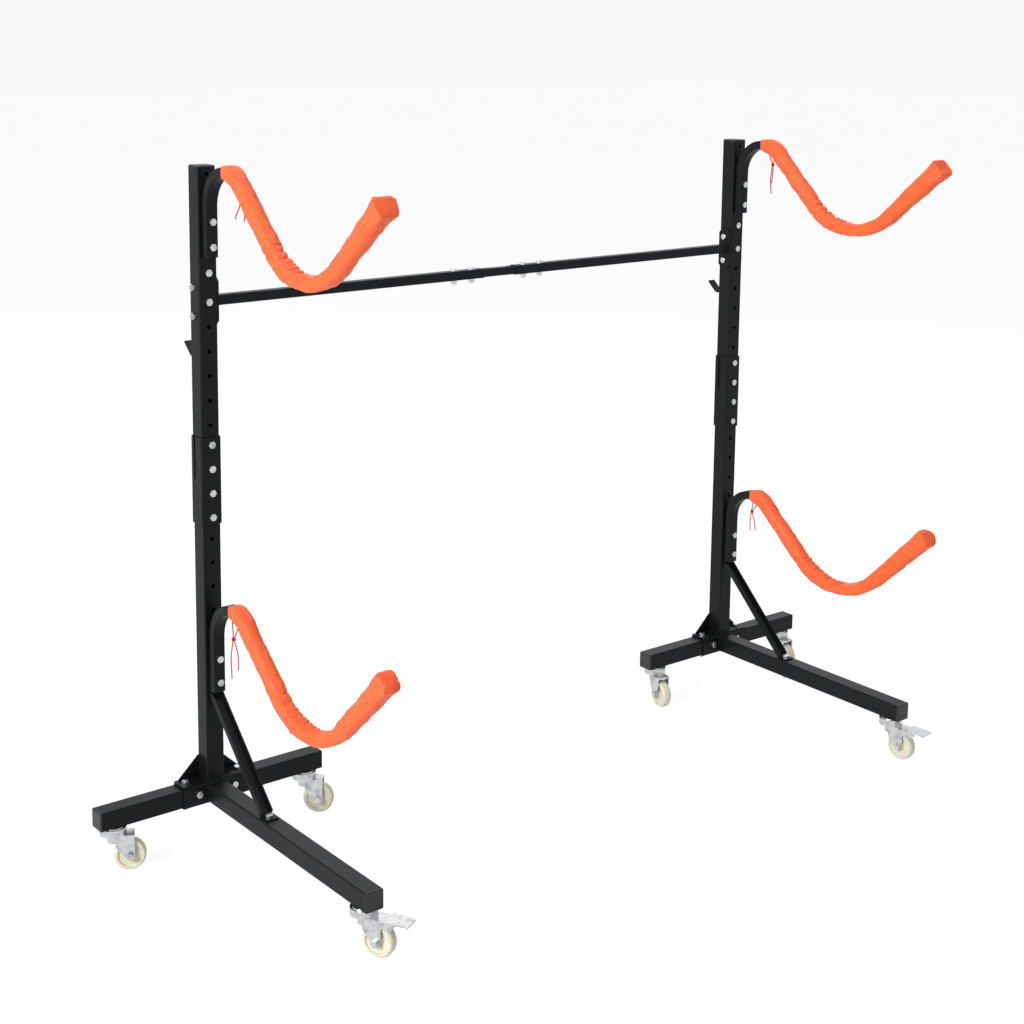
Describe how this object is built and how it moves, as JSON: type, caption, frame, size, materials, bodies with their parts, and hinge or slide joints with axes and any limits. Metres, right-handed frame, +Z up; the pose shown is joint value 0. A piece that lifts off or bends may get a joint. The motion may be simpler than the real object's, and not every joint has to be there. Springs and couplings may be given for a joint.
{
  "type": "freestanding kayak rack",
  "caption": "Freestanding rolling rack: wheeled T-base posts joined by a telescoping bar, with padded curved arms that cradle kayaks.",
  "frame": {"origin": "on the floor, midway between the ends of the rack's length and of its depth", "axes": "+X along the crossbar from the left stand to the right one, the arms and long legs point to -Y, +Z up"},
  "size_m": [1.914, 0.7094, 1.3618],
  "materials": {
    "powder_coat": "satin",
    "zinc": "satin",
    "cover_fabric": "satin",
    "drawstring": "matte",
    "cap_plastic": "satin",
    "wheel_nylon": "satin"
  },
  "bodies": {
    "left_stand": {"lower_post_left": "powder_coat", "upper_post_left": "powder_coat", "joint_sleeve_left": "powder_coat", "front_leg_left": "powder_coat", "rear_leg_left_outer": "powder_coat", "rear_leg_left_inner": "powder_coat", "end_caps_left": "cap_plastic", "brace_left": "powder_coat", "upper_arm_left": "powder_coat", "lower_arm_left": "powder_coat", "upper_cover_left": "cover_fabric", "lower_cover_left": "cover_fabric", "upper_string_left": "drawstring", "lower_string_left": "drawstring", "paddle_hook_left": "powder_coat", "bolts_left": "zinc", "nuts_left": "zinc", "outer_bar_left": "powder_coat", "caster_mounts_left": "zinc"},
    "inner_tube": {"inner_bar": "powder_coat"},
    "right_stand": {"lower_post_right": "powder_coat", "upper_post_right": "powder_coat", "joint_sleeve_right": "powder_coat", "front_leg_right": "powder_coat", "rear_leg_right_outer": "powder_coat", "rear_leg_right_inner": "powder_coat", "end_caps_right": "cap_plastic", "brace_right": "powder_coat", "upper_arm_right": "powder_coat", "lower_arm_right": "powder_coat", "upper_cover_right": "cover_fabric", "lower_cover_right": "cover_fabric", "upper_string_right": "drawstring", "lower_string_right": "drawstring", "paddle_hook_right": "powder_coat", "bolts_right": "zinc", "nuts_right": "zinc", "outer_bar_right": "powder_coat", "caster_mounts_right": "zinc"},
    "caster_lf": {"fork_lf": "zinc", "axle_lf": "zinc"},
    "rolling_lf": {"wheel_lf": "wheel_nylon"},
    "caster_lo": {"fork_lo": "zinc", "axle_lo": "zinc"},
    "rolling_lo": {"wheel_lo": "wheel_nylon"},
    "caster_li": {"fork_li": "zinc", "axle_li": "zinc"},
    "rolling_li": {"wheel_li": "wheel_nylon"},
    "caster_rf": {"fork_rf": "zinc", "axle_rf": "zinc"},
    "rolling_rf": {"wheel_rf": "wheel_nylon"},
    "caster_ri": {"fork_ri": "zinc", "axle_ri": "zinc"},
    "rolling_ri": {"wheel_ri": "wheel_nylon"},
    "caster_ro": {"fork_ro": "zinc", "axle_ro": "zinc"},
    "rolling_ro": {"wheel_ro": "wheel_nylon"},
    "pedal_left": {"brake_pedal_left": "zinc"},
    "pedal_right": {"brake_pedal_right": "zinc"}
  },
  "joints": [
    {"name": "crossbar_length", "type": "slide", "parent": "left_stand", "child": "right_stand", "axis": [1, 0, 0], "range_m": [-0.085, 0.52]},
    {"name": "inner_tube_slide", "type": "slide", "parent": "left_stand", "child": "inner_tube", "axis": [1, 0, 0], "range_m": [-0.0425, 0.26]},
    {"name": "swivel_lf", "type": "hinge", "parent": "left_stand", "child": "caster_lf", "pos_m": [-0.709, -0.25925, 0.079], "axis": [0, 0, 1], "continuous": true},
    {"name": "roll_lf", "type": "hinge", "parent": "caster_lf", "child": "rolling_lf", "pos_m": [-0.69445, -0.28663, 0.0315], "axis": [0.8829, 0.4695, 0], "continuous": true},
    {"name": "swivel_lo", "type": "hinge", "parent": "left_stand", "child": "caster_lo", "pos_m": [-0.923, 0.28975, 0.079], "axis": [0, 0, 1], "continuous": true},
    {"name": "roll_lo", "type": "hinge", "parent": "caster_lo", "child": "rolling_lo", "pos_m": [-0.89538, 0.27567, 0.0315], "axis": [0.454, 0.891, 0], "continuous": true},
    {"name": "swivel_li", "type": "hinge", "parent": "left_stand", "child": "caster_li", "pos_m": [-0.495, 0.28975, 0.079], "axis": [0, 0, 1], "continuous": true},
    {"name": "roll_li", "type": "hinge", "parent": "caster_li", "child": "rolling_li", "pos_m": [-0.47125, 0.26982, 0.0315], "axis": [0.6428, 0.766, 0], "continuous": true},
    {"name": "swivel_rf", "type": "hinge", "parent": "right_stand", "child": "caster_rf", "pos_m": [0.709, -0.25925, 0.079], "axis": [0, 0, 1], "continuous": true},
    {"name": "roll_rf", "type": "hinge", "parent": "caster_rf", "child": "rolling_rf", "pos_m": [0.71278, -0.29002, 0.0315], "axis": [0.9925, 0.1219, 0], "continuous": true},
    {"name": "swivel_ri", "type": "hinge", "parent": "right_stand", "child": "caster_ri", "pos_m": [0.495, 0.28975, 0.079], "axis": [0, 0, 1], "continuous": true},
    {"name": "roll_ri", "type": "hinge", "parent": "caster_ri", "child": "rolling_ri", "pos_m": [0.48856, 0.25942, 0.0315], "axis": [0.9781, -0.2079, 0], "continuous": true},
    {"name": "swivel_ro", "type": "hinge", "parent": "right_stand", "child": "caster_ro", "pos_m": [0.923, 0.28975, 0.079], "axis": [0, 0, 1], "continuous": true},
    {"name": "roll_ro", "type": "hinge", "parent": "caster_ro", "child": "rolling_ro", "pos_m": [0.91869, 0.25905, 0.0315], "axis": [0.9903, -0.1392, 0], "continuous": true},
    {"name": "brake_press_left", "type": "hinge", "parent": "caster_lf", "child": "pedal_left", "pos_m": [-0.68271, -0.3087, 0.0655], "axis": [0.8829, 0.4695, 0], "range_deg": [0, 14]},
    {"name": "brake_press_right", "type": "hinge", "parent": "caster_rf", "child": "pedal_right", "pos_m": [0.71583, -0.31484, 0.0655], "axis": [0.9925, 0.1219, 0], "range_deg": [0, 14]}
  ],
  "couplings": [
    {"joint": "inner_tube_slide", "follows": "crossbar_length", "ratio": 0.5}
  ]
}
